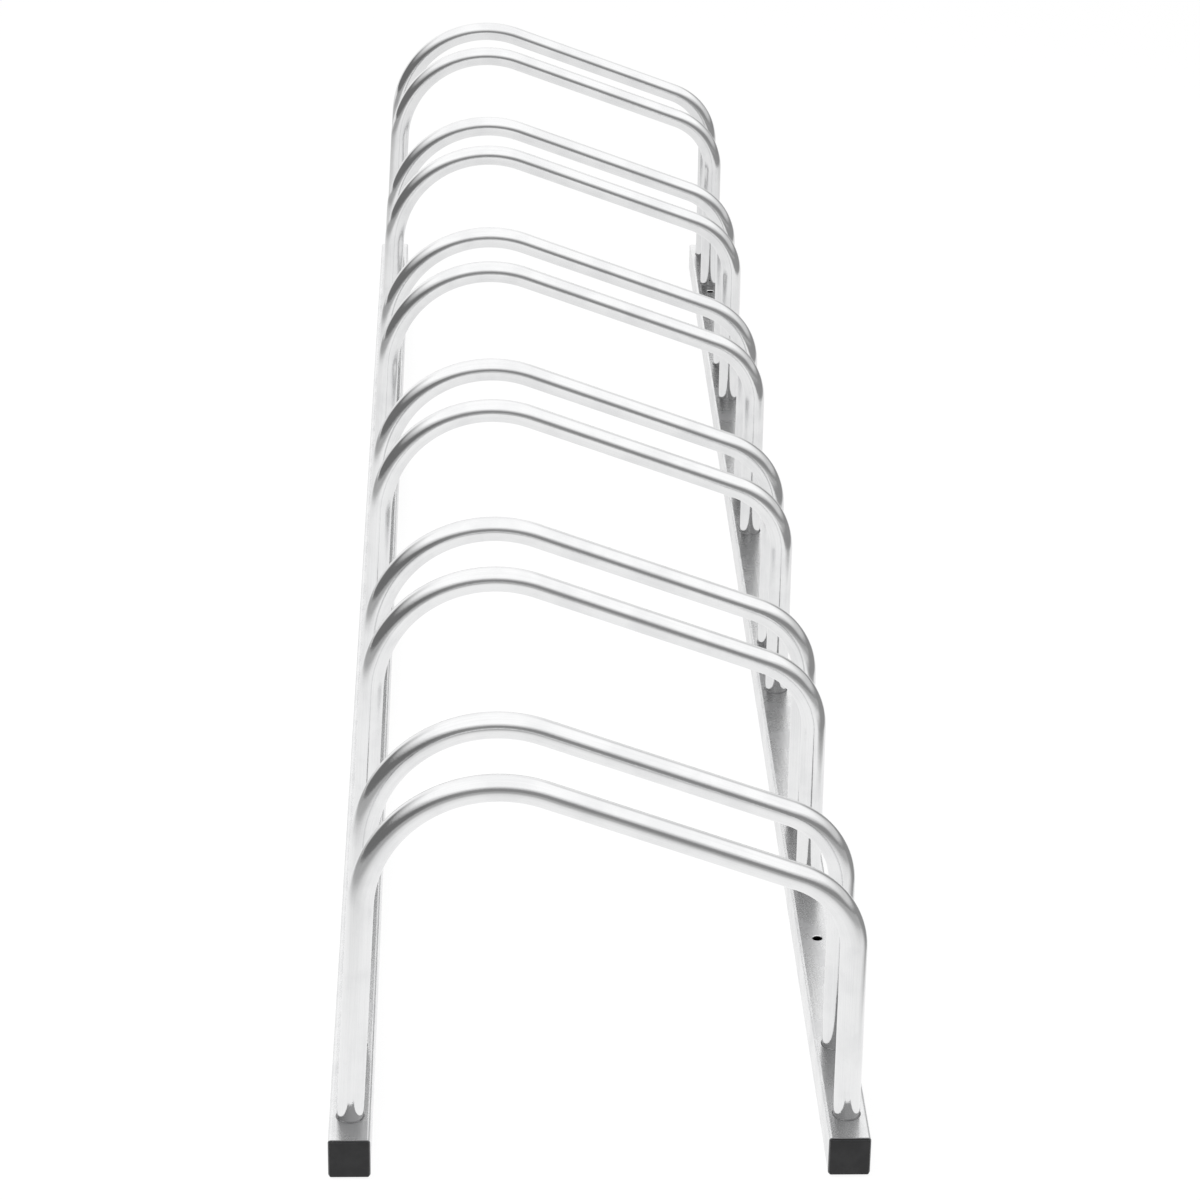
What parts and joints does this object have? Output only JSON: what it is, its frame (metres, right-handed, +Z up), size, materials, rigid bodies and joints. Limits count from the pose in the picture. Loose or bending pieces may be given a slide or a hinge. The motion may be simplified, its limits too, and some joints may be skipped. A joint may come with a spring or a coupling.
{
  "type": "hoop bike rack",
  "caption": "Floor rack for bicycles: bent round-tube hoops welded in pairs across two parallel square-tube rails with plastic end caps, drilled for floor anchors.",
  "frame": {"origin": "on the floor, midway between the rails and halfway along the rack", "axes": "+Y along the rails from the front end to the rear end, +X across the rails from the hoops' high side to their low side, +Z up"},
  "size_m": [0.32, 1.6, 0.251],
  "materials": {
    "zinc": "bright zinc plate on drawn steel tube, smooth, with faint lengthwise streaks",
    "weld": "zinc plated weld bead, slightly duller and rippled",
    "cap": "moulded black plastic, fine matt texture"
  },
  "bodies": {
    "root": {"left_rail": "zinc", "right_rail": "zinc", "hoop_1_front": "zinc", "hoop_1_back": "zinc", "hoop_2_front": "zinc", "hoop_2_back": "zinc", "hoop_3_front": "zinc", "hoop_3_back": "zinc", "hoop_4_front": "zinc", "hoop_4_back": "zinc", "hoop_5_front": "zinc", "hoop_5_back": "zinc", "hoop_6_front": "zinc", "hoop_6_back": "zinc", "left_rail_welds": "weld", "right_rail_welds": "weld", "left_front_cap": "cap", "left_rear_cap": "cap", "right_front_cap": "cap", "right_rear_cap": "cap"}
  },
  "joints": []
}
